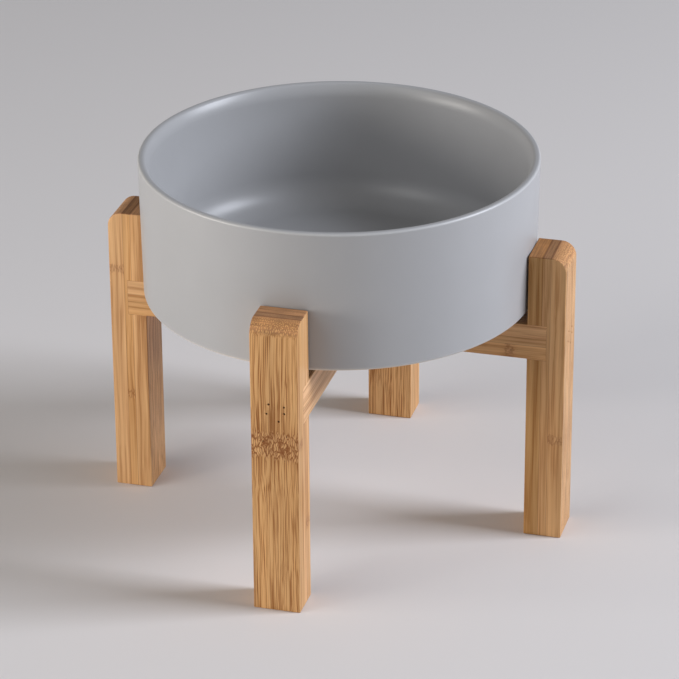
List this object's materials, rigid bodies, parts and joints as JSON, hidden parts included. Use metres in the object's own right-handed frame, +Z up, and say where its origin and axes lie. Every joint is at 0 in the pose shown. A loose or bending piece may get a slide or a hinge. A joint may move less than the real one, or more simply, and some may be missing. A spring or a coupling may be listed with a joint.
{
  "type": "raised dog bowl",
  "caption": "Round glazed ceramic pet bowl held between the legs of a crossed bamboo stand; the bowl lifts out and the stand's frames part at a halved joint.",
  "frame": {"origin": "on the floor, under the centre of the bowl and of the stand's crossing", "axes": "+Z up, X along the left to right crossbar with +X to the right, Y along the front to back crossbar with +Y to the back"},
  "size_m": [0.2568, 0.2568, 0.2104],
  "materials": {
    "glaze": "satin grey glaze",
    "bamboo": "clear satin lacquer over edge-laminated bamboo",
    "pin_steel": "bright drawn wire"
  },
  "bodies": {
    "side_frame": {"leg_left": "bamboo", "leg_right": "bamboo", "crossbar_side": "bamboo", "pins_left": "pin_steel", "pins_right": "pin_steel"},
    "front_frame": {"leg_front": "bamboo", "leg_back": "bamboo", "crossbar_front": "bamboo", "pins_front": "pin_steel", "pins_back": "pin_steel"},
    "bowl": {"bowl": "glaze"}
  },
  "joints": [
    {"name": "frame_lift", "type": "slide", "parent": "side_frame", "child": "front_frame", "axis": [0, 0, 1], "range_m": [0, 0.03]},
    {"name": "bowl_lift", "type": "slide", "parent": "front_frame", "child": "bowl", "axis": [0, 0, 1], "range_m": [0, 0.06]}
  ]
}
